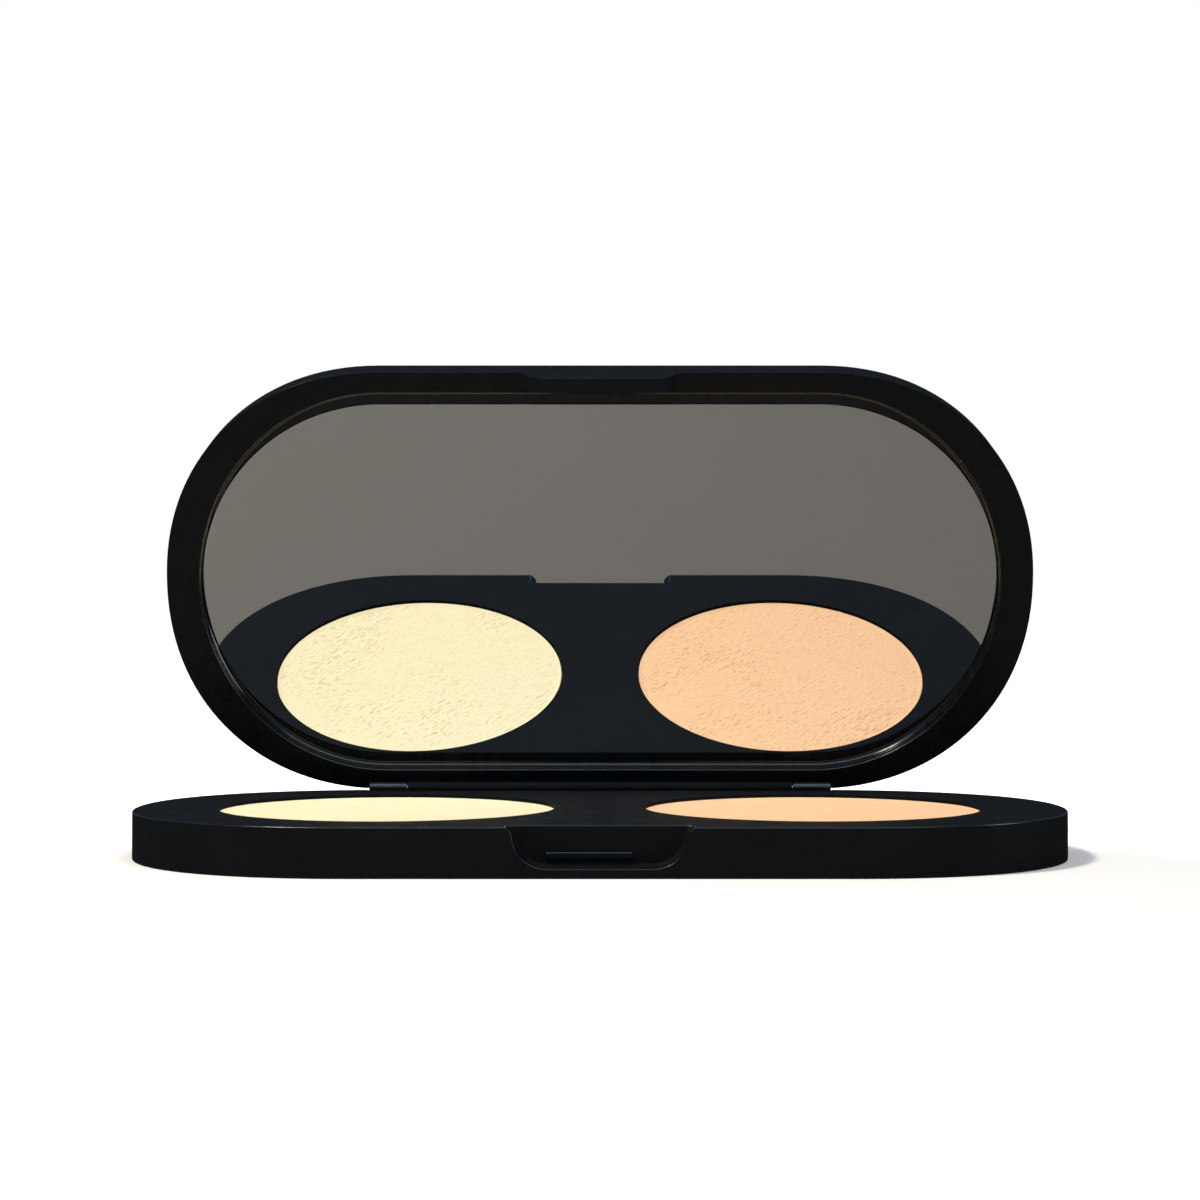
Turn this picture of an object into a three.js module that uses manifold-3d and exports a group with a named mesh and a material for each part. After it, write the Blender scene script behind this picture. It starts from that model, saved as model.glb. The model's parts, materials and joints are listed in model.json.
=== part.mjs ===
// Slim capsule-shaped powder compact with two round pressed powders and a mirror in the lid.
// Millimetres. +X is right, +Y is back (the hinge side), +Z is up. The origin is on the ground,
// under the middle of the base. The lid is drawn closed and then swung open about the hinge pins.
import * as THREE from "three";
import { mergeVertices } from "three/addons/utils/BufferGeometryUtils.js";
import Module from "manifold-3d";

const wasm = await Module();
wasm.setup();

// ---- driving dimensions -------------------------------------------------------------------
const STRAIGHT_HALF = 25.3;          // half length of the straight sides of the capsule outline
const BASE_HALF_DEPTH = 25.2;        // also how far each rounded end reaches past the straight sides
const BASE_HEIGHT = 5.15;
const WALL = 1.6;
const LEDGE = 0.8;                   // step inside the wall that the bottom plate is glued to
const DECK_THICKNESS = 1.2;
const END_SQUARENESS = 2.14;         // 2 is an elliptical end, more is squarer
const EDGE_ROUND = 0.2;

const LID_HALF_DEPTH = 25.0;
const LID_FORWARD = 0.1;             // how far the lid sits forward of the base when closed
const LID_THICKNESS = 4.7;
const LID_GAP = 0.15;                // between the deck and the closed lid
const OPEN_ANGLE = 74.9;             // degrees from closed, as the compact stands

const FIT_GAP = 0.1;                 // between pieces that are glued or laid together
const MOVING_GAP = 0.3;              // between pieces that pass each other

const PLATE_THICKNESS = 0.8;
const ADHESIVE_THICKNESS = 0.2;
const PAN_X = 23.13;
const PAN_METAL = 0.4;
const DECK_OPENING_RADIUS = 18.3;
const PAN_RADIUS = 18.8;
const WELL_WALL = 1.1;
const POWDER_BELOW_DECK = 0.37;
const POWDER_EDGE = 0.08;            // softening of the cake's top edge
const RIB_HALF = 0.6;

const HINGE_Y = 24.8;
const HINGE_Z = 5.4;
const KNUCKLE_RADIUS = 0.8;
const KNUCKLE_CLEARANCE = 0.2;
const KNUCKLE_SEAM_X = 22.8;         // middle of the gap between the centre and end knuckles
const HINGE_HALF_LENGTH = 27.35;
const PIN_RADIUS = 0.4;
const BORE_RADIUS = 0.47;
const PIN_LENGTH = 9.2;

const RECESS_DEPTH = 2.2;            // latch recess in the front wall
const RECESS = { half: 9.45, drop: 4.15, taper: 0.65, corner: 3.5 };
const TAB = { half: 9.1, drop: 4.05, taper: 0.6, corner: 3.4 };
const TAB_THICKNESS = 1.6;
const LATCH_WALL = 1.4;
const LATCH_BOSS_HALF = 11;
const CATCH_X = -1.1;                // the catch and its hook sit a little left of the middle
const CATCH = { half: 4.3, bottom: 1.8, top: 2.5, proud: 0.3 };
const HOOK = { half: 4.3, bottom: 1.3, top: 1.65, proud: 0.1 };

const MIRROR_STRAIGHT_HALF = 25.2;
const RIM_OPENING = { end: 21.3, depth: 22.6 };
const MIRROR_SIZE = { end: 21.15, depth: 21.02 };
const MIRROR_LEDGE = 1.63;           // from the lid's rim down to the polished ledge round the mirror
const LEDGE_FILLET = 0.55;           // where the wall of the rim opening meets the ledge
const MIRROR_THICKNESS = 1.0;

// ---- heights worked out from the above ----------------------------------------------------
const DECK_UNDERSIDE = BASE_HEIGHT - DECK_THICKNESS;
const PLATE_TOP = PLATE_THICKNESS;
const LEDGE_Z = PLATE_TOP + FIT_GAP;
const ADHESIVE_Z = LEDGE_Z;
const PAN_Z = ADHESIVE_Z + ADHESIVE_THICKNESS + FIT_GAP;
const POWDER_Z = PAN_Z + PAN_METAL + FIT_GAP;
const LID_Z = BASE_HEIGHT + LID_GAP;
const MIRROR_Z = LID_Z + MIRROR_LEDGE + 0.05;
const MIRROR_BACK = MIRROR_Z + MIRROR_THICKNESS;
const MIRROR_ADHESIVE_Z = MIRROR_BACK + FIT_GAP;
const POCKET_Z = MIRROR_ADHESIVE_Z + ADHESIVE_THICKNESS + FIT_GAP;

// ---- materials ----------------------------------------------------------------------------
const paint = (color, roughness, metalness = 0) =>
  new THREE.MeshStandardMaterial({ color, roughness, metalness });
const BLACK_PLASTIC = paint(0x17191b, 0.45);
const PLATE_PLASTIC = paint(0x1b1c1e, 0.6);
const TIN = paint(0xb9bcc0, 0.35, 1);
const STEEL = paint(0xa9acb0, 0.3, 1);
const IVORY_POWDER = paint(0xf9eec7, 0.95);
const PEACH_POWDER = paint(0xf8cca3, 0.95);
const MIRROR_GLASS = paint(0xd5d9db, 0.03, 1);
const ADHESIVE = paint(0xe4e2da, 0.8);

// ---- solids and shapes --------------------------------------------------------------------
function solid(geometry) {
  const bare = geometry.clone();
  bare.deleteAttribute("normal");
  bare.deleteAttribute("uv");
  const merged = mergeVertices(bare, 1e-5);
  return new wasm.Manifold(new wasm.Mesh({
    numProp: 3,
    vertProperties: new Float32Array(merged.attributes.position.array),
    triVerts: new Uint32Array(merged.index.array),
  }));
}

function toGeometry(manifold) {
  const mesh = manifold.getMesh();
  const geometry = new THREE.BufferGeometry();
  geometry.setAttribute("position", new THREE.BufferAttribute(mesh.vertProperties, 3));
  geometry.setIndex(new THREE.BufferAttribute(mesh.triVerts, 1));
  geometry.computeVertexNormals();
  return geometry;
}

// Capsule outline: straight sides of half length straightHalf, ends that reach "end" further.
function capsule(straightHalf, end, halfDepth, squareness = END_SQUARENESS, steps = 32) {
  const points = [];
  const power = 2 / squareness;
  for (const side of [1, -1]) {
    for (let i = 0; i <= steps; i += 1) {
      const angle = -Math.PI / 2 + (Math.PI * i) / steps;
      const along = Math.pow(Math.abs(Math.cos(angle)), power) * end;
      const across = Math.sign(Math.sin(angle)) * Math.pow(Math.abs(Math.sin(angle)), power) * halfDepth;
      points.push(new THREE.Vector2(side * (straightHalf + along), side * across));
    }
  }
  return new THREE.Shape(points);
}

// A flat-sided slab from z0 to z1, with its top and bottom edges rounded when round is above 0.
function slab(shape, z0, z1, round = 0) {
  const geometry = new THREE.ExtrudeGeometry(shape, {
    depth: z1 - z0 - 2 * round,
    bevelEnabled: round > 0,
    bevelThickness: round,
    bevelSize: round,
    bevelOffset: -round,
    bevelSegments: 3,
  });
  geometry.translate(0, 0, z0 + round);
  return solid(geometry);
}

function block(x0, x1, y0, y1, z0, z1) {
  const geometry = new THREE.BoxGeometry(x1 - x0, y1 - y0, z1 - z0);
  geometry.translate((x0 + x1) / 2, (y0 + y1) / 2, (z0 + z1) / 2);
  return solid(geometry);
}

function disc(x, radius, z0, z1, segments = 72) {
  const geometry = new THREE.CylinderGeometry(radius, radius, z1 - z0, segments);
  geometry.rotateX(Math.PI / 2);
  geometry.translate(x, 0, (z0 + z1) / 2);
  return solid(geometry);
}

// A rod on the hinge line, from x0 to x1.
function hingeRod(radius, x0, x1) {
  const geometry = new THREE.CylinderGeometry(radius, radius, x1 - x0, 32);
  geometry.rotateZ(Math.PI / 2);
  geometry.translate((x0 + x1) / 2, HINGE_Y, HINGE_Z);
  return solid(geometry);
}

// The U outline shared by the latch recess and the tab, with its open end "rise" above the rim line.
function tongueShape({ half, drop, taper, corner }, rise) {
  const low = half - taper;
  const shape = new THREE.Shape();
  shape.moveTo(half, rise);
  shape.lineTo(-half, rise);
  shape.lineTo(-half, 0);
  shape.lineTo(-low, corner - drop);
  shape.absarc(corner - low, corner - drop, corner, Math.PI, 1.5 * Math.PI, false);
  shape.absarc(low - corner, corner - drop, corner, 1.5 * Math.PI, 2 * Math.PI, false);
  shape.lineTo(half, 0);
  shape.closePath();
  return shape;
}

function tongue(form, rise, rimZ, frontY, thickness) {
  const geometry = new THREE.ExtrudeGeometry(tongueShape(form, rise), {
    depth: thickness,
    bevelEnabled: false,
    curveSegments: 10,
  });
  geometry.rotateX(Math.PI / 2);
  geometry.translate(0, frontY + thickness, rimZ);
  return solid(geometry);
}

// ---- base ---------------------------------------------------------------------------------
function baseCavity() {
  const plateSeat = BASE_HALF_DEPTH - WALL;
  const inside = BASE_HALF_DEPTH - WALL - LEDGE;
  const low = slab(capsule(STRAIGHT_HALF, plateSeat, plateSeat), -1, LEDGE_Z);
  const high = slab(capsule(STRAIGHT_HALF, inside, inside), 0, DECK_UNDERSIDE);
  const bossBack = -BASE_HALF_DEPTH + RECESS_DEPTH + LATCH_WALL;
  const boss = block(-LATCH_BOSS_HALF, LATCH_BOSS_HALF, -BASE_HALF_DEPTH, bossBack, -2, BASE_HEIGHT);
  return low.add(high).subtract(boss);
}

function baseShell() {
  let body = slab(capsule(STRAIGHT_HALF, BASE_HALF_DEPTH, BASE_HALF_DEPTH), 0, BASE_HEIGHT, EDGE_ROUND);
  body = body.subtract(baseCavity());
  const wellRadius = PAN_RADIUS + 0.15;
  const overlap = DECK_UNDERSIDE + 0.5;
  body = body.add(block(-RIB_HALF, RIB_HALF, -21.5, 23, LEDGE_Z, overlap));
  for (const x of [-PAN_X, PAN_X]) {
    const ring = disc(x, wellRadius + WELL_WALL, LEDGE_Z, overlap);
    body = body.add(ring.subtract(disc(x, wellRadius, 0, DECK_UNDERSIDE)));
    body = body.subtract(disc(x, wellRadius, LEDGE_Z - 0.5, DECK_UNDERSIDE));
    body = body.subtract(disc(x, DECK_OPENING_RADIUS, 0, BASE_HEIGHT + 1));
  }
  const front = -BASE_HALF_DEPTH;
  body = body.subtract(tongue(RECESS, 1, BASE_HEIGHT, front - 1, RECESS_DEPTH + 1));
  const recessBack = front + RECESS_DEPTH;
  const catchFront = recessBack - CATCH.proud;
  const rib = block(-CATCH.half, CATCH.half, catchFront, recessBack + 0.5, CATCH.bottom, CATCH.top);
  body = body.add(rib.translate([CATCH_X, 0, 0]));
  const inner = KNUCKLE_SEAM_X + MOVING_GAP / 2;
  body = body.subtract(hingeRod(KNUCKLE_RADIUS + KNUCKLE_CLEARANCE, -inner, inner));
  for (const side of [-1, 1]) {
    const [x0, x1] = span(side, inner, HINGE_HALF_LENGTH);
    body = body.add(hingeRod(KNUCKLE_RADIUS, x0, x1));
    body = body.subtract(hingeRod(BORE_RADIUS, x0 - 0.1, x1 + 0.1));
  }
  return body;
}

// The stretch from a to b on one side of the middle, lowest x first.
function span(side, a, b) {
  return side > 0 ? [a, b] : [-b, -a];
}

function baseBottom() {
  const half = BASE_HALF_DEPTH - WALL - FIT_GAP;
  const plate = slab(capsule(STRAIGHT_HALF, half, half), 0, PLATE_TOP);
  const bossBack = -BASE_HALF_DEPTH + RECESS_DEPTH + LATCH_WALL + FIT_GAP;
  const bossHalf = LATCH_BOSS_HALF + FIT_GAP;
  return plate.subtract(block(-bossHalf, bossHalf, -BASE_HALF_DEPTH, bossBack, -1, 2));
}

// The pressed-metal pan, turned from one closed profile.
function pan() {
  const top = DECK_UNDERSIDE - FIT_GAP;
  const profile = [
    new THREE.Vector2(0, PAN_Z),
    new THREE.Vector2(PAN_RADIUS - 0.3, PAN_Z),
    new THREE.Vector2(PAN_RADIUS, PAN_Z + 0.3),
    new THREE.Vector2(PAN_RADIUS, top),
    new THREE.Vector2(PAN_RADIUS - PAN_METAL, top),
    new THREE.Vector2(PAN_RADIUS - PAN_METAL, PAN_Z + PAN_METAL),
    new THREE.Vector2(0, PAN_Z + PAN_METAL),
  ];
  const geometry = new THREE.LatheGeometry(profile, 72);
  geometry.rotateX(Math.PI / 2);
  return geometry;
}

// The powder cake fills the pan and rises through the deck opening, with a softly rounded top edge.
function cake() {
  const top = BASE_HEIGHT - POWDER_BELOW_DECK;
  const radius = DECK_OPENING_RADIUS - FIT_GAP;
  const profile = [
    new THREE.Vector2(0, POWDER_Z),
    new THREE.Vector2(radius, POWDER_Z),
    new THREE.Vector2(radius, top - POWDER_EDGE),
    new THREE.Vector2(radius - POWDER_EDGE, top),
    new THREE.Vector2(0, top),
  ];
  const geometry = new THREE.LatheGeometry(profile, 72);
  geometry.rotateX(Math.PI / 2);
  return geometry;
}

// ---- lid, drawn closed --------------------------------------------------------------------
function lidShell() {
  const top = LID_Z + LID_THICKNESS;
  const outline = capsule(STRAIGHT_HALF, LID_HALF_DEPTH, LID_HALF_DEPTH);
  let body = slab(outline, LID_Z, top, EDGE_ROUND);
  const opening = capsule(MIRROR_STRAIGHT_HALF, RIM_OPENING.end, RIM_OPENING.depth, 2);
  body = body.subtract(slab(opening, LID_Z - 1, LID_Z + MIRROR_LEDGE, LEDGE_FILLET));
  const pocketEnd = MIRROR_SIZE.end + FIT_GAP;
  const pocketDepth = MIRROR_SIZE.depth + FIT_GAP;
  body = body.subtract(slab(capsule(MIRROR_STRAIGHT_HALF, pocketEnd, pocketDepth, 2), LID_Z, POCKET_Z));
  body = body.translate([0, -LID_FORWARD, 0]);
  const front = -LID_HALF_DEPTH - LID_FORWARD;
  body = body.add(tongue(TAB, 0.5, LID_Z, front, TAB_THICKNESS));
  const tabBack = front + TAB_THICKNESS;
  const hook = block(-HOOK.half, HOOK.half, tabBack - 0.2, tabBack + HOOK.proud, HOOK.bottom, HOOK.top);
  body = body.add(hook.translate([CATCH_X, 0, 0]));
  const inner = KNUCKLE_SEAM_X - MOVING_GAP / 2;
  for (const side of [-1, 1]) {
    const [x0, x1] = span(side, inner, HINGE_HALF_LENGTH + MOVING_GAP);
    body = body.subtract(hingeRod(KNUCKLE_RADIUS + KNUCKLE_CLEARANCE, x0, x1));
  }
  body = body.add(hingeRod(KNUCKLE_RADIUS, -inner, inner));
  const boreEnd = HINGE_HALF_LENGTH - PIN_LENGTH - 0.3;
  for (const side of [-1, 1]) {
    const [x0, x1] = span(side, boreEnd, inner + 0.1);
    body = body.subtract(hingeRod(BORE_RADIUS, x0, x1));
  }
  return body;
}

function mirrorPane(z0, z1, inset) {
  const outline = capsule(MIRROR_STRAIGHT_HALF, MIRROR_SIZE.end - inset, MIRROR_SIZE.depth - inset, 2);
  return slab(outline, z0, z1).translate([0, -LID_FORWARD, 0]);
}

// ---- assembly -----------------------------------------------------------------------------
function piece(name, geometry, material) {
  const mesh = new THREE.Mesh(geometry, material);
  mesh.name = name;
  return mesh;
}

const group = new THREE.Group();
group.add(piece("base_shell", toGeometry(baseShell()), BLACK_PLASTIC));
group.add(piece("base_bottom", toGeometry(baseBottom()), PLATE_PLASTIC));

const sides = [
  { name: "left", sign: -1, powder: IVORY_POWDER },
  { name: "right", sign: 1, powder: PEACH_POWDER },
];
for (const { name, sign, powder } of sides) {
  const metalPan = piece(`pan_${name}`, pan(), TIN);
  const powderCake = piece(`powder_${name}`, cake(), powder);
  const adhesiveTop = ADHESIVE_Z + ADHESIVE_THICKNESS;
  const adhesive = piece(`pan_adhesive_${name}`, toGeometry(disc(0, 17, ADHESIVE_Z, adhesiveTop)), ADHESIVE);
  for (const part of [metalPan, powderCake, adhesive]) {
    part.position.x = sign * PAN_X;
    group.add(part);
  }
  const pinOuter = HINGE_HALF_LENGTH - 0.15;
  const [pin0, pin1] = span(sign, pinOuter - PIN_LENGTH, pinOuter);
  group.add(piece(`hinge_pin_${name}`, toGeometry(hingeRod(PIN_RADIUS, pin0, pin1)), STEEL));
}

const lid = new THREE.Group();
const mirrorGlass = mirrorPane(MIRROR_Z, MIRROR_BACK, 0);
const mirrorSheet = mirrorPane(MIRROR_ADHESIVE_Z, MIRROR_ADHESIVE_Z + ADHESIVE_THICKNESS, 1);
lid.add(piece("lid_shell", toGeometry(lidShell()), BLACK_PLASTIC));
lid.add(piece("mirror", toGeometry(mirrorGlass), MIRROR_GLASS));
lid.add(piece("mirror_adhesive", toGeometry(mirrorSheet), ADHESIVE));
for (const part of lid.children) {
  part.position.set(0, -HINGE_Y, -HINGE_Z);
}
lid.position.set(0, HINGE_Y, HINGE_Z);
lid.rotation.x = -THREE.MathUtils.degToRad(OPEN_ANGLE);
group.add(lid);

export default group;
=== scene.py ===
import json
import math

import bmesh
import bpy
from mathutils import Matrix, Vector, noise


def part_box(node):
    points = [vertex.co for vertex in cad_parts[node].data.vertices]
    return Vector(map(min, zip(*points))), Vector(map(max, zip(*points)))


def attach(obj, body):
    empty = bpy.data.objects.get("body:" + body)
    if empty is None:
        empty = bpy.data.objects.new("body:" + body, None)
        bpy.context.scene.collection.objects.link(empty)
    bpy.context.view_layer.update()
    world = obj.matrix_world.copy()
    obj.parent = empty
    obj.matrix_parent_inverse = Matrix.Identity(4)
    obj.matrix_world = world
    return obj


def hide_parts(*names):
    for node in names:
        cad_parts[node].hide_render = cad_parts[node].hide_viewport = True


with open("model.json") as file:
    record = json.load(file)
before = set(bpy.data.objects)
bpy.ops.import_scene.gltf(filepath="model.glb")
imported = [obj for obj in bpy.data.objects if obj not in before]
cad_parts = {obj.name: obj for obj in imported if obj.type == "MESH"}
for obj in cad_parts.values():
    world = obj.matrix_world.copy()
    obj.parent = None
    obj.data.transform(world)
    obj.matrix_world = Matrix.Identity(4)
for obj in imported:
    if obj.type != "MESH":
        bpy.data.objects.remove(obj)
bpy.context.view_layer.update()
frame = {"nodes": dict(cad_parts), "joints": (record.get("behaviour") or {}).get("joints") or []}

MM = 0.001

# ---- sizes, in millimetres, read from the frame where the frame has them ----------------------
HINGE = Vector(frame["joints"][0]["pos_m"]) / MM
OPEN_ANGLE = -math.radians(frame["joints"][0]["range_deg"][0])


def cad_box(node):
    low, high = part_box(node)
    return low / MM, high / MM


BASE_LOW, BASE_HIGH = cad_box("base_shell")
PLATE_LOW, PLATE_HIGH = cad_box("base_bottom")
POWDER_LOW, POWDER_HIGH = cad_box("powder_right")
PAN_LOW, PAN_HIGH = cad_box("pan_right")
PIN_LOW, PIN_HIGH = cad_box("hinge_pin_right")

SQUARENESS = 2.14
BASE_HALF_LENGTH = BASE_HIGH.x
BASE_HALF_DEPTH = -BASE_LOW.y
STRAIGHT_HALF = BASE_HALF_LENGTH - BASE_HALF_DEPTH
POWDER_RADIUS = (POWDER_HIGH.x - POWDER_LOW.x) / 2
POWDER_X = (POWDER_HIGH.x + POWDER_LOW.x) / 2
BASE_HEIGHT = POWDER_HIGH.z + 0.37
DECK_UNDERSIDE = PAN_HIGH.z + 0.1
PLATE_SEAT = PLATE_HIGH.z + 0.1
WALL = 1.6
LEDGE = 0.8
OPENING_RADIUS = POWDER_RADIUS + 0.1
WELL_RADIUS = (PAN_HIGH.x - PAN_LOW.x) / 2 + 0.15

LID_HALF_DEPTH = BASE_HALF_DEPTH - 0.2
LID_FORWARD = 0.1
LID_Z = BASE_HEIGHT + 0.15
LID_TOP = LID_Z + 4.7
RIM_OPENING = (25.2, 21.3, 22.6)
MIRROR_SIZE = (25.2, 21.15, 21.02)
MIRROR_LEDGE = LID_Z + 1.63
MIRROR_FACE = MIRROR_LEDGE + 0.05
MIRROR_BACK = MIRROR_FACE + 1.0
POCKET = MIRROR_BACK + 0.4

KNUCKLE_RADIUS = 0.8
KNUCKLE_RELIEF = 1.0
BORE_RADIUS = 0.47
PIN_RADIUS = (PIN_HIGH.z - PIN_LOW.z) / 2
HINGE_HALF_LENGTH = 27.35
KNUCKLE_SEAM = 22.8
SEAM_GAP = 0.08

RECESS = {"half": 9.45, "drop": 4.15, "taper": 0.65, "corner": 3.5}
RECESS_DEPTH = 2.2
TAB = {"half": 9.1, "drop": 4.05, "taper": 0.6, "corner": 3.4}
TAB_THICKNESS = 1.6
CATCH_X = -1.1

GRAIN_TURN = math.radians(40)


# ---- mesh helpers, all in millimetres ---------------------------------------------------------
def new_object(name, vertices, faces):
    mesh = bpy.data.meshes.new(name)
    mesh.from_pydata([tuple(v) for v in vertices], [], faces)
    mesh.validate()
    made = bpy.data.objects.new(name, mesh)
    bpy.context.scene.collection.objects.link(made)
    return made


def capsule(straight, end, depth, squareness=SQUARENESS, steps=64):
    """Outline with straight long sides and rounded ends, anticlockwise."""
    power = 2 / squareness
    points = []
    for side in (1, -1):
        for i in range(steps + 1):
            angle = -math.pi / 2 + math.pi * i / steps
            along = abs(math.cos(angle)) ** power * end
            across = math.copysign(abs(math.sin(angle)) ** power, math.sin(angle)) * depth
            points.append((side * (straight + along), side * across))
    return points


def circle(x, radius, steps=160):
    turn = 2 * math.pi / steps
    return [(x + radius * math.cos(i * turn), radius * math.sin(i * turn)) for i in range(steps)]


def tongue(half, drop, taper, corner, rise, steps=14):
    """The U outline of the latch recess and the tab, in x and height below the rim."""
    low = half - taper
    points = [(half, 0), (half, rise), (-half, rise), (-half, 0)]
    for centre, start in ((corner - low, math.pi), (low - corner, 1.5 * math.pi)):
        for i in range(steps + 1):
            angle = start + math.pi / 2 * i / steps
            points.append((centre + corner * math.cos(angle), corner - drop + corner * math.sin(angle)))
    return points


def prism(points, low, high, name="tool"):
    count = len(points)
    vertices = [(x, y, low) for x, y in points] + [(x, y, high) for x, y in points]
    faces = [tuple(reversed(range(count))), tuple(range(count, 2 * count))]
    faces += [(i, (i + 1) % count, count + (i + 1) % count, count + i) for i in range(count)]
    return new_object(name, vertices, faces)


def block(low, high):
    corners = [(low[0], low[1]), (high[0], low[1]), (high[0], high[1]), (low[0], high[1])]
    return prism(corners, low[2], high[2])


def front_prism(points, rim_z, front, back):
    """A prism whose outline stands in the XZ plane and runs from y = front to y = back."""
    made = prism(points, 0, back - front)
    made.data.transform(Matrix.Translation((0, back, rim_z)) @ Matrix.Rotation(math.pi / 2, 4, "X"))
    return made


def hinge_rod(radius, x0, x1, chamfer=0.0, steps=48):
    """A rod along the hinge line, turned from its profile."""
    stations = [(x0, radius - chamfer), (x0 + chamfer, radius), (x1 - chamfer, radius), (x1, radius - chamfer)]
    if chamfer == 0:
        stations = [(x0, radius), (x1, radius)]
    vertices = []
    for x, r in stations:
        for i in range(steps):
            angle = 2 * math.pi * i / steps
            vertices.append((x, HINGE.y + r * math.cos(angle), HINGE.z + r * math.sin(angle)))
    faces = [tuple(reversed(range(steps)))]
    for ring in range(len(stations) - 1):
        for i in range(steps):
            a, b = ring * steps + i, ring * steps + (i + 1) % steps
            faces.append((a, b, b + steps, a + steps))
    last = (len(stations) - 1) * steps
    faces.append(tuple(range(last, last + steps)))
    return new_object("tool", vertices, faces)


def bake_modifiers(made):
    graph = bpy.context.evaluated_depsgraph_get()
    mesh = bpy.data.meshes.new_from_object(made.evaluated_get(graph))
    made.modifiers.clear()
    made.data = mesh


def combine(target, tool, operation):
    modifier = target.modifiers.new("boolean", "BOOLEAN")
    modifier.operation = operation
    modifier.solver = "EXACT"
    modifier.object = tool
    bake_modifiers(target)
    bpy.data.objects.remove(tool)
    return target


def cut(target, tool):
    return combine(target, tool, "DIFFERENCE")


def join(target, tool):
    return combine(target, tool, "UNION")


def round_edges(made, width, wanted, segments=4, material=-1, clamp=True):
    """Rounds the sharp edges whose middle point passes the test "wanted"."""
    angle = math.radians(38)
    bm = bmesh.new()
    bm.from_mesh(made.data)
    bmesh.ops.remove_doubles(bm, verts=bm.verts, dist=0.0005)
    bmesh.ops.dissolve_limit(bm, angle_limit=0.002, verts=bm.verts, edges=bm.edges)
    chosen = []
    for edge in bm.edges:
        if len(edge.link_faces) == 2 and edge.calc_face_angle() > angle:
            middle = (edge.verts[0].co + edge.verts[1].co) / 2
            if wanted(middle):
                chosen.append(edge)
    bmesh.ops.bevel(
        bm,
        geom=chosen,
        offset=width,
        segments=segments,
        profile=0.5,
        affect="EDGES",
        clamp_overlap=clamp,
        miter_outer="ARC",
        material=material,
    )
    bm.to_mesh(made.data)
    bm.free()
    return made


def dress(made, *materials):
    made.data.materials.clear()
    for material in materials:
        made.data.materials.append(material)
    return made


def place(made, name, body, nodes, lid=False):
    """Names a finished piece, puts it where the frame has it and ties it to its body."""
    made.name = name
    made.data.name = name
    if lid:
        to_hinge = Matrix.Translation(-HINGE)
        swing = Matrix.Rotation(-OPEN_ANGLE, 4, "X")
        made.data.transform(Matrix.Translation(HINGE) @ swing @ to_hinge)
    made.data.transform(Matrix.Scale(MM, 4))
    made.data.shade_smooth()
    made.data.set_sharp_from_angle(angle=math.radians(35))
    weighted = made.modifiers.new("weighted_normals", "WEIGHTED_NORMAL")
    weighted.keep_sharp = True
    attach(made, body)
    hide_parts(*nodes)
    return made


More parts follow.
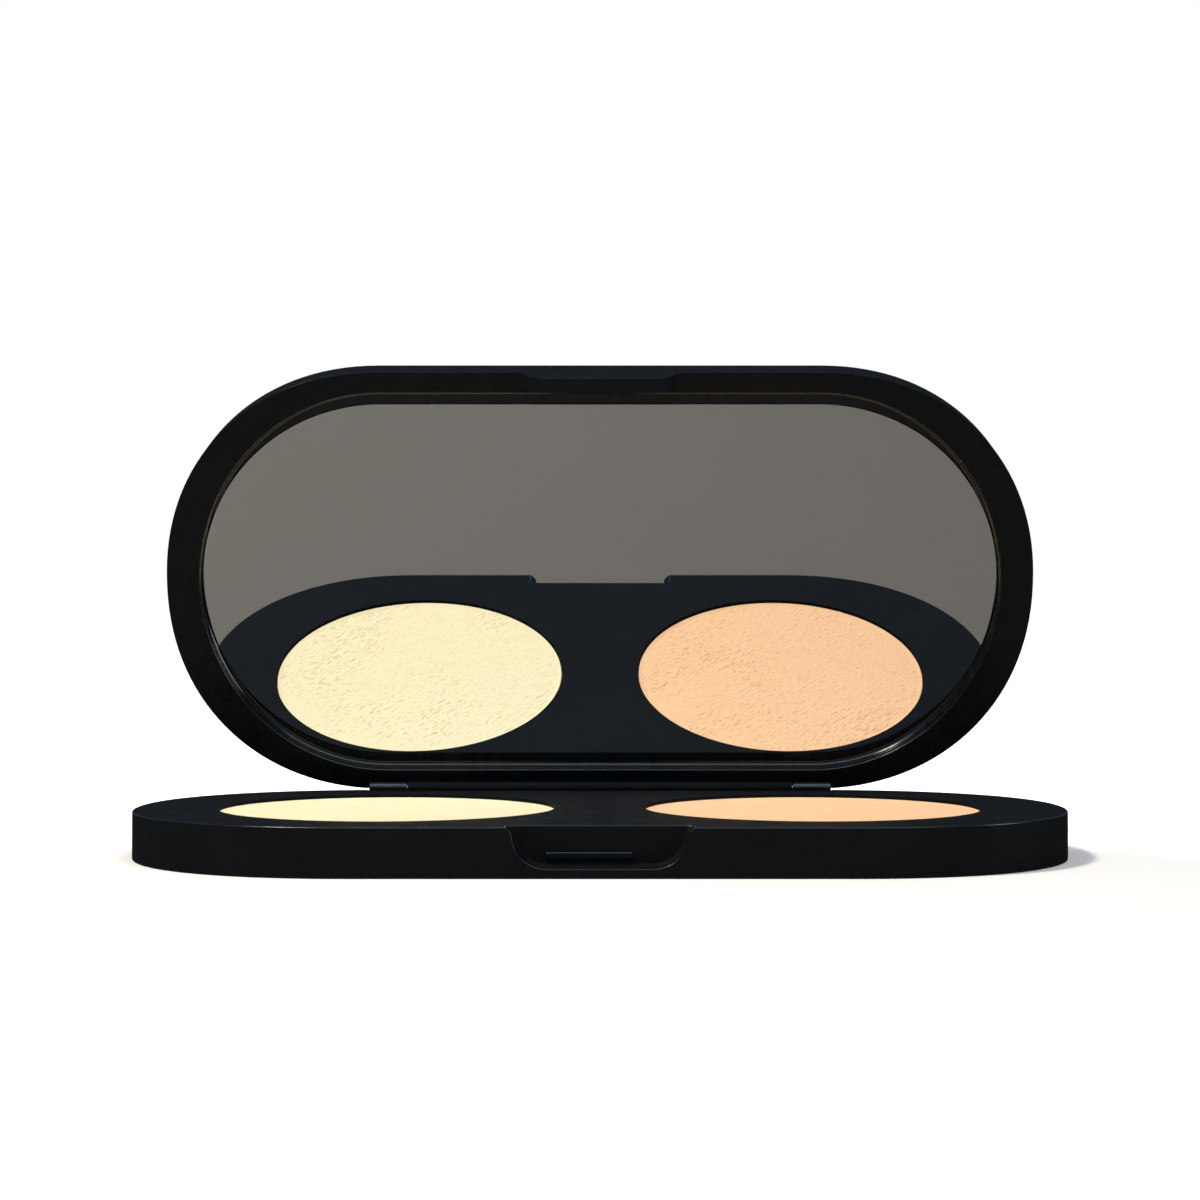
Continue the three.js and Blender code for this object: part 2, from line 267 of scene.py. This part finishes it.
# ---- materials --------------------------------------------------------------------------------
class Surface:
    """A node material on the Principled shader, with textures in object space and sizes in mm."""

    def __init__(self, name, metallic=0.0, ior=1.5, specular=0.5):
        self.material = bpy.data.materials.new(name)
        self.material.use_nodes = True
        self.nodes = self.material.node_tree.nodes
        self.links = self.material.node_tree.links
        self.shader = self.nodes["Principled BSDF"]
        self.shader.inputs["Metallic"].default_value = metallic
        self.shader.inputs["IOR"].default_value = ior
        self.shader.inputs["Specular IOR Level"].default_value = specular
        self.place = self.nodes.new("ShaderNodeTexCoord").outputs["Object"]

    def stretched(self, x=1.0, y=1.0, z=1.0):
        mapping = self.nodes.new("ShaderNodeMapping")
        mapping.inputs["Scale"].default_value = (x, y, z)
        self.links.new(self.place, mapping.inputs["Vector"])
        return mapping.outputs["Vector"]

    def noise(self, size_mm, detail=3.0, roughness=0.5, vector=None):
        texture = self.nodes.new("ShaderNodeTexNoise")
        texture.inputs["Scale"].default_value = 1 / (size_mm * MM)
        texture.inputs["Detail"].default_value = detail
        texture.inputs["Roughness"].default_value = roughness
        self.links.new(vector or self.place, texture.inputs["Vector"])
        return texture.outputs["Fac"]

    def ramp(self, value, low, high, start=0.3, stop=0.7):
        ramp = self.nodes.new("ShaderNodeValToRGB")
        ramp.color_ramp.elements[0].position = start
        ramp.color_ramp.elements[0].color = (*low, 1)
        ramp.color_ramp.elements[1].position = stop
        ramp.color_ramp.elements[1].color = (*high, 1)
        self.links.new(value, ramp.inputs["Fac"])
        return ramp.outputs["Color"]

    def spread(self, value, low, high):
        spread = self.nodes.new("ShaderNodeMapRange")
        spread.inputs["From Min"].default_value = 0.3
        spread.inputs["From Max"].default_value = 0.7
        spread.inputs["To Min"].default_value = low
        spread.inputs["To Max"].default_value = high
        self.links.new(value, spread.inputs["Value"])
        return spread.outputs["Result"]

    def math(self, operation, first, second):
        made = self.nodes.new("ShaderNodeMath")
        made.operation = operation
        self.links.new(first, made.inputs[0])
        if isinstance(second, float):
            made.inputs[1].default_value = second
        else:
            self.links.new(second, made.inputs[1])
        return made.outputs["Value"]

    def bump(self, value, depth_mm, strength=1.0, after=None):
        bump = self.nodes.new("ShaderNodeBump")
        bump.inputs["Distance"].default_value = depth_mm * MM
        bump.inputs["Strength"].default_value = strength
        self.links.new(value, bump.inputs["Height"])
        if after:
            self.links.new(after, bump.inputs["Normal"])
        return bump.outputs["Normal"]

    def distance_glow(self, near, far, start_m=0.12, stop_m=0.6):
        """A value that grows with the distance from the object's origin, for the sweep behind it: it fades the floor's
        colour, and on the white floor it sets the painted glow that brightens the floor away from the compact and
        washes out the lid's cast shadow there.
        """
        length = self.nodes.new("ShaderNodeVectorMath")
        length.operation = "LENGTH"
        self.links.new(self.place, length.inputs[0])
        spread = self.nodes.new("ShaderNodeMapRange")
        spread.inputs["From Min"].default_value = start_m
        spread.inputs["From Max"].default_value = stop_m
        spread.inputs["To Min"].default_value = near
        spread.inputs["To Max"].default_value = far
        self.links.new(length.outputs["Value"], spread.inputs["Value"])
        return spread.outputs["Result"]

    def set(self, socket, value):
        self.links.new(value, self.shader.inputs[socket])


def satin_black(name, dark, light, rough, specular):
    """Moulded black plastic: a fine spark texture, slow changes of tone and a little gloss."""
    made = Surface(name, specular=specular)
    cloud = made.noise(9, detail=2)
    grain = made.noise(0.16, detail=3, roughness=0.6)
    made.set("Base Color", made.ramp(cloud, dark, light))
    made.set("Roughness", made.spread(made.noise(2.5, detail=4), rough - 0.05, rough + 0.05))
    made.set("Normal", made.bump(grain, 0.006))
    return made.material


def polished_black(name):
    """The polished ledge round the mirror: its streaks are real polish marks in roughness and bump, and painted
    reflection streaks in the colour.
    """
    made = Surface(name, specular=0.35)
    polish_and_reflection_streaks = made.noise(0.5, detail=3, vector=made.stretched(1, 0.04, 0.04))
    # Painted reflection: the light and dark colour streaks stand in for the streaky reflections on the ledge.
    made.set("Base Color", made.ramp(polish_and_reflection_streaks, (0.003, 0.0032, 0.0035), (0.009, 0.0094, 0.01)))
    made.set("Roughness", made.spread(polish_and_reflection_streaks, 0.08, 0.2))
    made.set("Normal", made.bump(polish_and_reflection_streaks, 0.004))
    return made.material


def pressed_powder(name, low, high):
    """Dead-matt pressed powder: fine pores, faint mottling and a soft bloom at grazing angles."""
    made = Surface(name, specular=0.15)
    made.shader.inputs["Sheen Weight"].default_value = 0.08
    made.shader.inputs["Sheen Roughness"].default_value = 0.6
    mottle = made.noise(1.6, detail=5, roughness=0.65)
    made.set("Base Color", made.ramp(mottle, low, high))
    pores = made.noise(0.12, detail=4, roughness=0.7)
    made.set("Roughness", made.spread(pores, 0.88, 1.0))
    made.set("Normal", made.bump(pores, 0.014))
    return made.material


def silvered_glass(name):
    made = Surface(name, metallic=1.0)
    haze = made.noise(14, detail=3)
    made.set("Base Color", made.ramp(haze, (0.93, 0.935, 0.935), (0.945, 0.95, 0.95)))
    made.set("Roughness", made.spread(haze, 0.0, 0.006))
    return made.material


def drawn_metal(name, low, high, rough, along):
    made = Surface(name, metallic=1.0)
    lines = made.noise(0.3, detail=4, vector=made.stretched(*along))
    made.set("Base Color", made.ramp(lines, low, high))
    made.set("Roughness", made.spread(lines, rough - 0.06, rough + 0.08))
    made.set("Normal", made.bump(lines, 0.004))
    return made.material


def adhesive_sheet(name):
    made = Surface(name)
    fibres = made.noise(0.5, detail=5)
    made.set("Base Color", made.ramp(fibres, (0.72, 0.7, 0.63), (0.8, 0.79, 0.73)))
    made.set("Roughness", made.spread(fibres, 0.6, 0.85))
    made.set("Normal", made.bump(fibres, 0.01))
    return made.material


CASE_BLACK = satin_black("case_black", (0.0048, 0.0054, 0.0062), (0.0062, 0.0069, 0.0078), 0.6, 0.035)
EDGE_BLACK = satin_black("edge_black", (0.0025, 0.003, 0.0035), (0.0035, 0.004, 0.0045), 0.22, 0.5)
RIM_BLACK = satin_black("rim_black", (0.002, 0.0028, 0.0031), (0.003, 0.0038, 0.0041), 0.28, 0.24)
LEDGE_BLACK = polished_black("ledge_black")
PLATE_BLACK = satin_black("plate_black", (0.006, 0.0065, 0.007), (0.009, 0.0095, 0.01), 0.6, 0.5)
IVORY = pressed_powder("ivory_powder", (0.92, 0.82, 0.55), (0.96, 0.875, 0.6))
PEACH = pressed_powder("peach_powder", (0.95, 0.59, 0.345), (0.99, 0.645, 0.385))
SILVER = silvered_glass("silvered_glass")
PAN_METAL = drawn_metal("pan_metal", (0.62, 0.63, 0.65), (0.72, 0.73, 0.74), 0.3, (1, 1, 0.1))
PIN_STEEL = drawn_metal("pin_steel", (0.5, 0.51, 0.52), (0.6, 0.61, 0.62), 0.28, (0.05, 1, 1))
ADHESIVE = adhesive_sheet("adhesive")


# ---- base -------------------------------------------------------------------------------------
def latch_block(margin):
    half = 11 + margin
    back = -BASE_HALF_DEPTH + RECESS_DEPTH + 1.4 + margin
    return block((-half, -BASE_HALF_DEPTH - 1, -2), (half, back, BASE_HEIGHT))


def end_spans(start, stop):
    return ((start, stop), (-stop, -start))


def base_shell():
    outline = capsule(STRAIGHT_HALF, BASE_HALF_DEPTH, BASE_HALF_DEPTH)
    body = dress(prism(outline, 0, BASE_HEIGHT), CASE_BLACK, EDGE_BLACK)
    front = -BASE_HALF_DEPTH
    recess_back = front + RECESS_DEPTH
    round_edges(body, 0.13, lambda p: True, 3, material=1)
    recess = front_prism(tongue(**RECESS, rise=1), BASE_HEIGHT, front - 1, recess_back)
    cut(body, round_edges(recess, 0.45, lambda p: p.y > recess_back - 0.1 and p.z < BASE_HEIGHT + 0.9, 5))
    round_edges(body, 0.09, on_recess_edge, 3, material=1, clamp=False)
    knuckle_start = KNUCKLE_SEAM + SEAM_GAP / 2
    cut(body, hinge_rod(KNUCKLE_RELIEF, -knuckle_start, knuckle_start))
    for x in (-POWDER_X, POWDER_X):
        cut(body, prism(circle(x, OPENING_RADIUS), -1, BASE_HEIGHT + 1))
    round_edges(body, 0.1, lambda p: p.z > 0.5 and abs(abs(p.x) - POWDER_X) < 19 and near_opening(p), 3)
    seat = BASE_HALF_DEPTH - WALL
    inside = seat - LEDGE
    low_cavity = prism(capsule(STRAIGHT_HALF, seat, seat), -1, PLATE_SEAT)
    high_cavity = prism(capsule(STRAIGHT_HALF, inside, inside), PLATE_SEAT - 0.5, DECK_UNDERSIDE)
    for cavity in (low_cavity, high_cavity):
        cut(body, cut(cavity, latch_block(0)))
    for x in (-POWDER_X, POWDER_X):
        ring = prism(circle(x, WELL_RADIUS + 1.1), PLATE_SEAT, DECK_UNDERSIDE + 0.4)
        join(body, cut(ring, prism(circle(x, WELL_RADIUS), 0, BASE_HEIGHT)))
    join(body, block((-0.6, -21.4, PLATE_SEAT), (0.6, 23, DECK_UNDERSIDE + 0.4)))
    join(body, catch_rib())
    for x0, x1 in end_spans(knuckle_start, HINGE_HALF_LENGTH):
        join(body, knuckle(x0, x1, 1))
        cut(body, hinge_rod(BORE_RADIUS, x0 - 0.2, x1 + 0.2))
    return body


def knuckle(x0, x1, index):
    rod = dress(hinge_rod(KNUCKLE_RADIUS, x0, x1, chamfer=0.08), CASE_BLACK, EDGE_BLACK)
    for face in rod.data.polygons:
        face.material_index = index
    return rod


def on_recess_edge(point):
    """True on the edges that the latch recess makes in the front wall and in the deck."""
    in_front = abs(point.y + BASE_HALF_DEPTH) < 0.02 and point.z > 0.5
    in_deck = abs(point.z - BASE_HEIGHT) < 0.02 and point.y < RECESS_DEPTH + 0.1 - BASE_HALF_DEPTH
    return abs(point.x) < RECESS["half"] + 0.1 and (in_front or in_deck)


def near_opening(point):
    distance = math.hypot(abs(point.x) - POWDER_X, point.y)
    return abs(distance - OPENING_RADIUS) < 0.05


def catch_rib():
    """The rounded bar low in the latch recess that the lid's hook snaps under."""
    back = -BASE_HALF_DEPTH + RECESS_DEPTH
    rib = block((CATCH_X - 4.3, back - 0.3, 1.8), (CATCH_X + 4.3, back + 0.6, 2.5))
    return round_edges(dress(rib, CASE_BLACK, EDGE_BLACK), 0.14, lambda p: p.y < back, 3, material=1)


def base_bottom():
    half = BASE_HALF_DEPTH - WALL - 0.1
    plate = prism(capsule(STRAIGHT_HALF, half, half), 0, PLATE_HIGH.z)
    cut(plate, latch_block(0.1))
    return round_edges(plate, 0.12, lambda p: True, 3)


# ---- powders ----------------------------------------------------------------------------------
def disc_point(u, v):
    """Maps the square from -1 to 1 evenly onto the unit disc."""
    if abs(u) < 1e-9 and abs(v) < 1e-9:
        return 0.0, 0.0
    if abs(u) > abs(v):
        return u * math.cos(math.pi / 4 * v / u), u * math.sin(math.pi / 4 * v / u)
    return v * math.sin(math.pi / 4 * u / v), v * math.cos(math.pi / 4 * u / v)


def grain_height(x, y, seed):
    """Leathery grain of the pressed cake, in mm: fine wrinkles that mostly run one way, in patches."""
    where = Vector((x, y, seed))
    warp = noise.noise_vector(where * 0.7) * 0.35
    along = x * math.cos(GRAIN_TURN) - y * math.sin(GRAIN_TURN) + warp.x
    across = x * math.sin(GRAIN_TURN) + y * math.cos(GRAIN_TURN) + warp.y
    nearest = noise.voronoi(Vector((along / 1.2, across / 0.48, seed)))[0]
    crease = max(0.0, 1 - (nearest[1] - nearest[0]) / 0.75)
    patch = 0.65 + 0.8 * noise.noise(where / 9)
    fine = noise.fractal(Vector((x * 2.6, y * 4.2, seed)), 1.0, 2.0, 3)
    return fine * 0.012 - crease * 0.22 * max(0.4, min(0.9, patch))


def powder(x_centre, seed, steps=420):
    radius, top, low = POWDER_RADIUS, POWDER_HIGH.z, POWDER_LOW.z
    edge = 0.08
    vertices, faces = [], []
    for j in range(steps + 1):
        for i in range(steps + 1):
            u, v = disc_point(2 * i / steps - 1, 2 * j / steps - 1)
            x, y = u * (radius - edge), v * (radius - edge)
            rim = (1 - math.hypot(u, v)) * radius
            fade = min(1.0, rim / 0.5)
            height = (grain_height(x, y, seed) - 0.02) * fade
            vertices.append((x + x_centre, y, top + min(0.0, height)))
    row = steps + 1
    for j in range(steps):
        for i in range(steps):
            a = j * row + i
            faces.append((a, a + 1, a + row + 1, a + row))
    rim_loop = [i for i in range(row)]
    rim_loop += [j * row + steps for j in range(1, row)]
    rim_loop += [steps * row + i for i in range(steps - 1, -1, -1)]
    rim_loop += [j * row for j in range(steps - 1, 0, -1)]
    profile = [(radius - edge * (1 - math.sin(a)), top - edge * (1 - math.cos(a)))
               for a in (math.pi / 8, math.pi / 4, 3 * math.pi / 8, math.pi / 2)]
    profile += [(radius, low + 0.1), (radius - 0.1, low)]
    previous = rim_loop
    for r, z in profile:
        ring = []
        for index in rim_loop:
            x, y, _ = vertices[index]
            scale = r / math.hypot(x - x_centre, y)
            ring.append(len(vertices))
            vertices.append((x_centre + (x - x_centre) * scale, y * scale, z))
        for i in range(len(ring)):
            j = (i + 1) % len(ring)
            faces.append((previous[i], ring[i], ring[j], previous[j]))
        previous = ring
    faces.append(tuple(reversed(previous)))
    return new_object("powder", vertices, faces)


# ---- lid, drawn closed ------------------------------------------------------------------------
def lid_prism(points, low, high):
    return prism([(x, y - LID_FORWARD) for x, y in points], low, high)


def in_rim_opening(point, margin=0.3):
    length, end, depth = RIM_OPENING
    across = abs(point.y + LID_FORWARD) / (depth + margin)
    along = max(0.0, abs(point.x) - length) / (end + margin)
    return math.hypot(along, across) < 1


def on_rim_opening(point):
    """True on the edge where the opening round the mirror meets the rim of the lid."""
    return in_rim_opening(point) and point.z < LID_Z + 0.3


def on_lid_outside(point):
    shell = point.z < MIRROR_LEDGE - 0.1 or point.z > LID_TOP - 0.1
    return shell and not on_rim_opening(point)


def lid_tab():
    front = -LID_HALF_DEPTH - LID_FORWARD
    back = front + TAB_THICKNESS
    tab = front_prism(tongue(**TAB, rise=0.6), LID_Z, front, back)
    return join(tab, block((CATCH_X - 4.3, back - 0.2, 1.3), (CATCH_X + 4.3, back + 0.1, 1.65)))


def lid_shell():
    body = lid_prism(capsule(STRAIGHT_HALF, LID_HALF_DEPTH, LID_HALF_DEPTH), LID_Z, LID_TOP)
    dress(body, CASE_BLACK, EDGE_BLACK, RIM_BLACK, LEDGE_BLACK)
    opening = lid_prism(capsule(*RIM_OPENING, squareness=2), LID_Z - 1, MIRROR_LEDGE)
    cut(body, round_edges(opening, 0.55, lambda p: p.z > LID_Z, 5))
    join(body, lid_tab())
    relief_start = KNUCKLE_SEAM - SEAM_GAP / 2
    for x0, x1 in end_spans(relief_start, HINGE_HALF_LENGTH + SEAM_GAP):
        cut(body, hinge_rod(KNUCKLE_RELIEF, x0, x1))
    round_edges(body, 0.1, on_rim_opening, 3, material=1)
    round_edges(body, 0.2, on_lid_outside, material=1)
    length, end, depth = MIRROR_SIZE
    cut(body, lid_prism(capsule(length, end + 0.1, depth + 0.1, squareness=2), LID_Z, POCKET))
    join(body, knuckle(-relief_start, relief_start, 0))
    bore_end = PIN_LOW.x - 0.3
    for x0, x1 in end_spans(bore_end, relief_start + 0.2):
        cut(body, hinge_rod(BORE_RADIUS, x0, x1))
    return body


def mirror():
    pane = lid_prism(capsule(*MIRROR_SIZE, squareness=2), MIRROR_FACE, MIRROR_BACK)
    return round_edges(pane, 0.05, lambda p: True, 2)


# ---- making the pieces ------------------------------------------------------------------------
def paint_lid(shell):
    """The rim takes its own black, and the ledge round the mirror the polished one."""
    for face in shell.data.polygons:
        centre = face.center
        if face.material_index == 0 and face.normal.z < -0.9 and abs(centre.z - LID_Z) < 0.02:
            face.material_index = 2
        elif in_rim_opening(centre) and LID_Z + 0.2 < centre.z < MIRROR_LEDGE + 0.02:
            face.material_index = 3


def make_pieces():
    place(base_shell(), "base_moulding", "base", ["base_shell"])
    plate = dress(base_bottom(), PLATE_BLACK)
    place(plate, "base_plate", "base", ["base_bottom"])
    powders = (("left", -1, IVORY, "ivory_powder", 3.7), ("right", 1, PEACH, "peach_powder", 8.2))
    for name, sign, paint, slot, seed in powders:
        cake = dress(powder(sign * POWDER_X, seed), paint)
        place(cake, f"pressed_powder_{name}", "base", [f"powder_{name}"])
        pin_low, pin_high = cad_box(f"hinge_pin_{name}")
        pin = dress(hinge_rod(PIN_RADIUS, pin_low.x, pin_high.x, chamfer=0.06), PIN_STEEL)
        place(pin, f"steel_pin_{name}", "base", [f"hinge_pin_{name}"])
        dress(frame["nodes"][f"pan_{name}"], PAN_METAL)
        dress(frame["nodes"][f"pan_adhesive_{name}"], ADHESIVE)
    lid = lid_shell()
    paint_lid(lid)
    place(lid, "lid_moulding", "lid", ["lid_shell"], lid=True)
    glass = dress(mirror(), SILVER)
    place(glass, "mirror_pane", "lid", ["mirror"], lid=True)
    dress(frame["nodes"]["mirror_adhesive"], ADHESIVE)


# ---- floor, light and camera ------------------------------------------------------------------
def floor_plane(name, height, colour, fade, fade_from, fade_to, glow):
    size = 6.0
    corners = [(-size, -size, height), (size, -size, height), (size, size, height), (-size, size, height)]
    made = new_object(name, corners, [(0, 1, 2, 3)])
    surface = Surface(name, specular=0.0)
    far_tone = tuple(c * fade for c in colour)
    surface.set("Base Color", surface.ramp(surface.distance_glow(0.0, 1.0, fade_from, fade_to), colour, far_tone, 0, 1))
    surface.shader.inputs["Roughness"].default_value = 0.9
    surface.shader.inputs["Emission Color"].default_value = (1, 1, 1, 1)
    # Painted light: the floor glows faintly near the compact and at full strength further out, which brightens the far
    # floor into the white sweep and washes out the lid's cast shadow behind the compact.
    if glow:
        surface.set("Emission Strength", surface.distance_glow(glow, 1.0, fade_from, fade_to))
    dress(made, surface.material)
    return made


def make_floor():
    """A white sweep that the camera sees, and a grey card in the same place that the mirror sees."""
    # The white floor's glow is painted light, 0.06 near the compact rising to full strength from 0.118 m out, so the
    # lid's shadow behind the compact is washed out.
    white = floor_plane("floor", 0.0, (0.96, 0.97, 1.0), 1.0, 0.082, 0.118, 0.06)
    white.location.y = -0.06
    white.visible_glossy = False
    white.visible_shadow = False
    card = floor_plane("floor_card", -0.00002, (0.146, 0.149, 0.157), 0.12, 0.075, 0.13, 0.0)
    card.location.y = -0.055
    card.visible_camera = False
    card.visible_shadow = False


def area_light(name, location, size, power, colour, target=(0, 0, 0.01)):
    data = bpy.data.lights.new(name, "AREA")
    data.shape = "RECTANGLE"
    data.size, data.size_y = size
    data.energy = power
    data.color = colour
    lamp = bpy.data.objects.new(name, data)
    lamp.location = location
    lamp.rotation_euler = (Vector(target) - Vector(location)).to_track_quat("-Z", "Y").to_euler()
    lamp.visible_camera = False
    bpy.context.scene.collection.objects.link(lamp)
    return lamp


def make_light():
    top = area_light("top_softbox", (0.15, -0.2, 0.65), (0.4, 0.2), 1.56, (1.0, 0.91, 0.74))
    top.visible_glossy = False
    area_light("key_softbox", (-0.22, -0.12, 0.42), (0.08, 0.08), 1.7, (1.0, 0.91, 0.745))
    strips = (
        area_light("edge_strip", (0.0, -0.33, 0.5), (0.9, 0.15), 1.7, (0.95, 1.0, 0.98)),
        area_light("front_sky", (0.0, -0.5, 0.33), (0.9, 0.25), 1.3, (0.2, 0.55, 1.0)),
        area_light("side_strip", (0.6, -0.1, 0.12), (0.2, 0.3), 1.0, (0.9, 0.95, 1.0)),
    )
    for strip in strips:
        strip.visible_diffuse = False
    world = bpy.data.worlds.new("studio")
    world.use_nodes = True
    nodes, links = world.node_tree.nodes, world.node_tree.links
    nodes.clear()
    where = nodes.new("ShaderNodeTexCoord")
    split = nodes.new("ShaderNodeSeparateXYZ")
    sky = nodes.new("ShaderNodeValToRGB")
    sky.color_ramp.elements[0].position = 0.0
    sky.color_ramp.elements[0].color = (0.045, 0.055, 0.07, 1)
    sky.color_ramp.elements[1].position = 1.0
    sky.color_ramp.elements[1].color = (0.24, 0.29, 0.37, 1)
    middle = sky.color_ramp.elements.new(0.5)
    middle.color = (0.075, 0.13, 0.23, 1)
    room = nodes.new("ShaderNodeBackground")
    seen = nodes.new("ShaderNodeBackground")
    seen.inputs["Color"].default_value = (1, 1, 1, 1)
    seen.inputs["Strength"].default_value = 1.0
    rays = nodes.new("ShaderNodeLightPath")
    mix = nodes.new("ShaderNodeMixShader")
    out = nodes.new("ShaderNodeOutputWorld")
    links.new(where.outputs["Generated"], split.inputs["Vector"])
    links.new(split.outputs["Z"], sky.inputs["Fac"])
    links.new(sky.outputs["Color"], room.inputs["Color"])
    links.new(rays.outputs["Is Camera Ray"], mix.inputs["Fac"])
    links.new(room.outputs["Background"], mix.inputs[1])
    links.new(seen.outputs["Background"], mix.inputs[2])
    links.new(mix.outputs["Shader"], out.inputs["Surface"])
    bpy.context.scene.world = world


def make_camera():
    data = bpy.data.cameras.new("camera")
    data.sensor_width = 36
    data.lens = 76.75
    data.clip_start = 0.01
    camera = bpy.data.objects.new("camera", data)
    camera.location = (0, -0.279, 0.0277)
    camera.rotation_euler = (math.pi / 2, 0, 0)
    bpy.context.scene.collection.objects.link(camera)
    bpy.context.scene.camera = camera


make_camera()
make_light()
make_floor()
make_pieces()
bpy.context.scene.view_settings.view_transform = "Standard"
